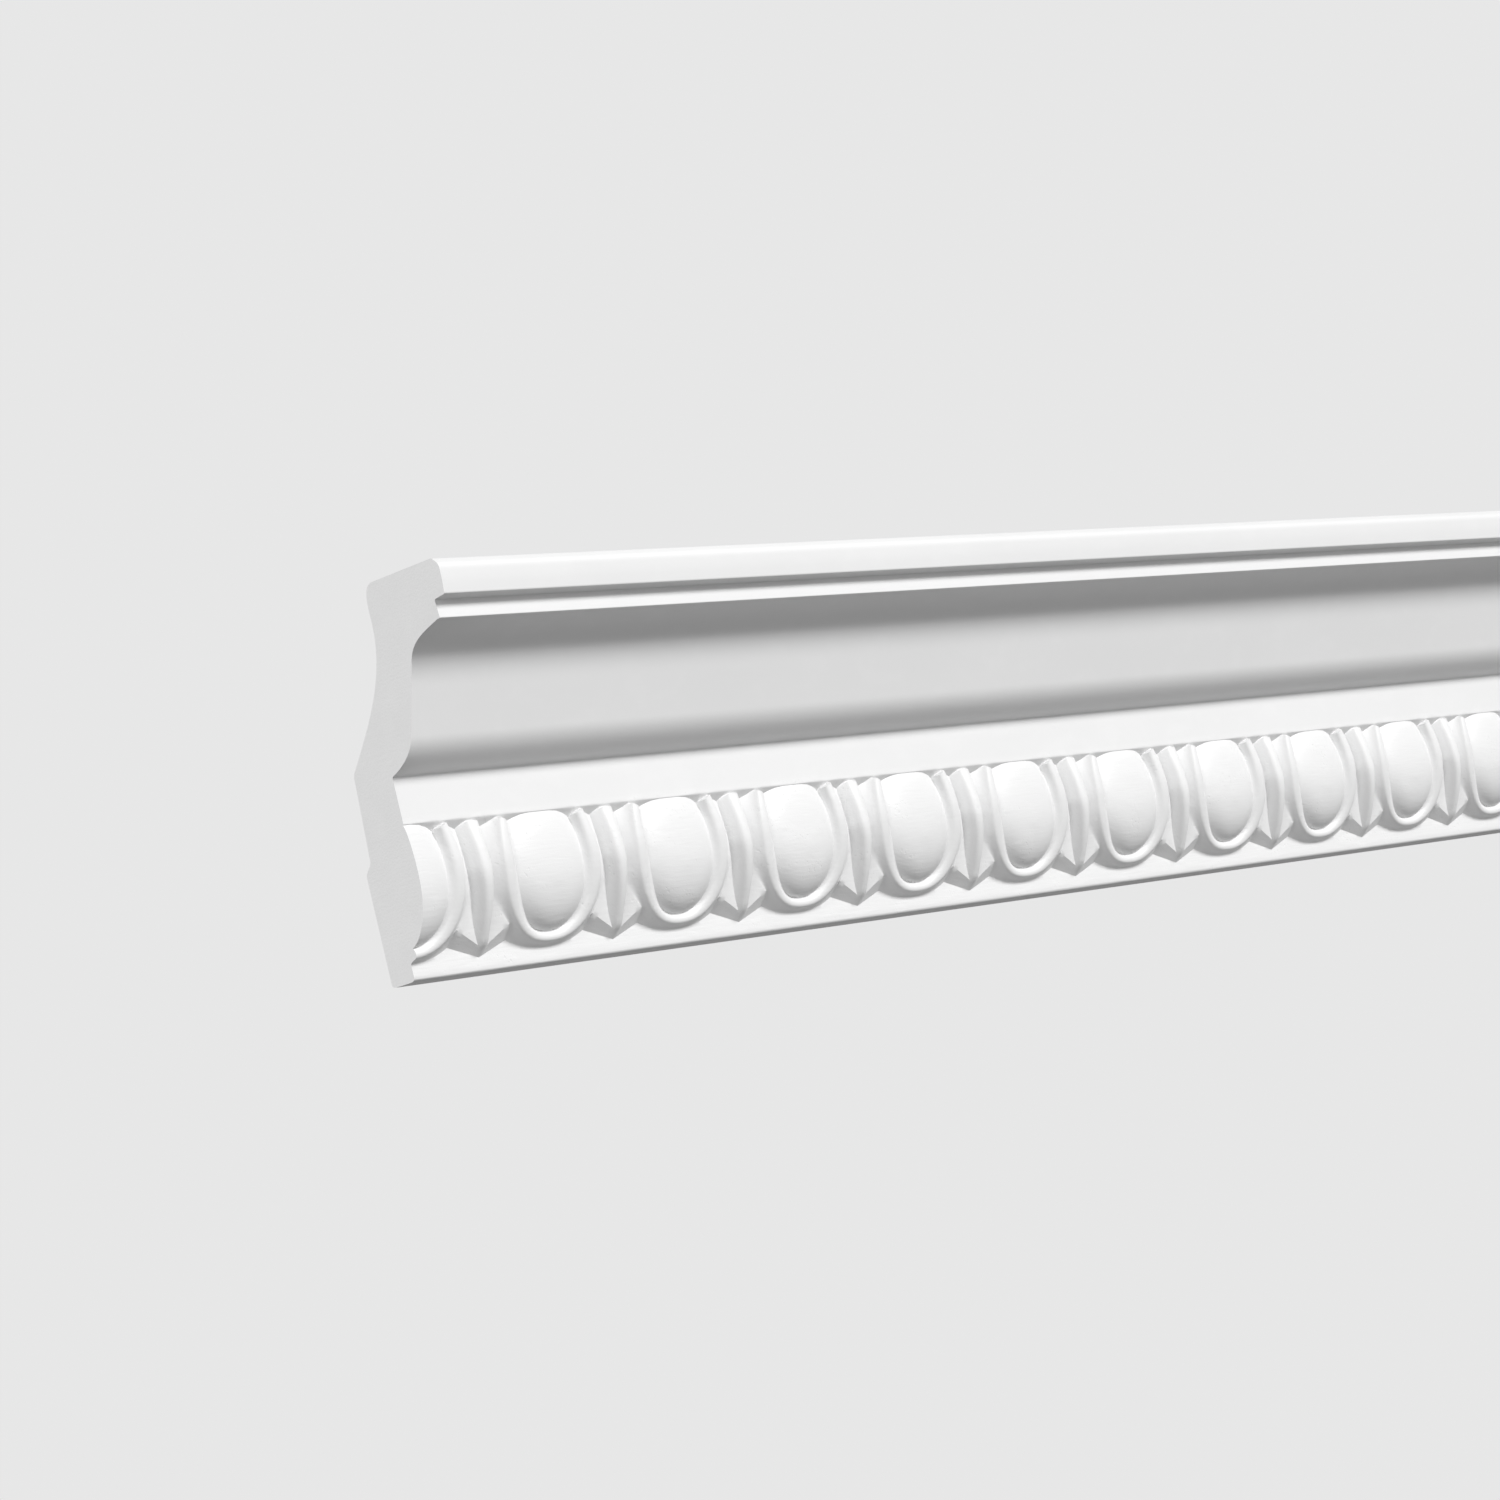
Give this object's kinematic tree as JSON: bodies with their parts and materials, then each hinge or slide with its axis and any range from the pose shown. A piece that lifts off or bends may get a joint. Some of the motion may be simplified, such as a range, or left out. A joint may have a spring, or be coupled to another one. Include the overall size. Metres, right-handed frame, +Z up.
{
  "type": "cornice moulding section",
  "caption": "Straight length of cornice moulding for the corner of wall and ceiling: plain cyma above, carved egg-and-dart band below, both ends cut square.",
  "frame": {"origin": "centre of the flat strip on the back that bears on the wall, at the middle of the length", "axes": "+X along the moulding's length, +Y into the wall, -Y into the room, +Z up towards the ceiling"},
  "size_m": [0.5722, 0.0486, 0.1],
  "materials": {
    "primed_polyurethane": "satin white primer"
  },
  "bodies": {
    "root": {"cornice_moulding": "primed_polyurethane"}
  },
  "joints": []
}
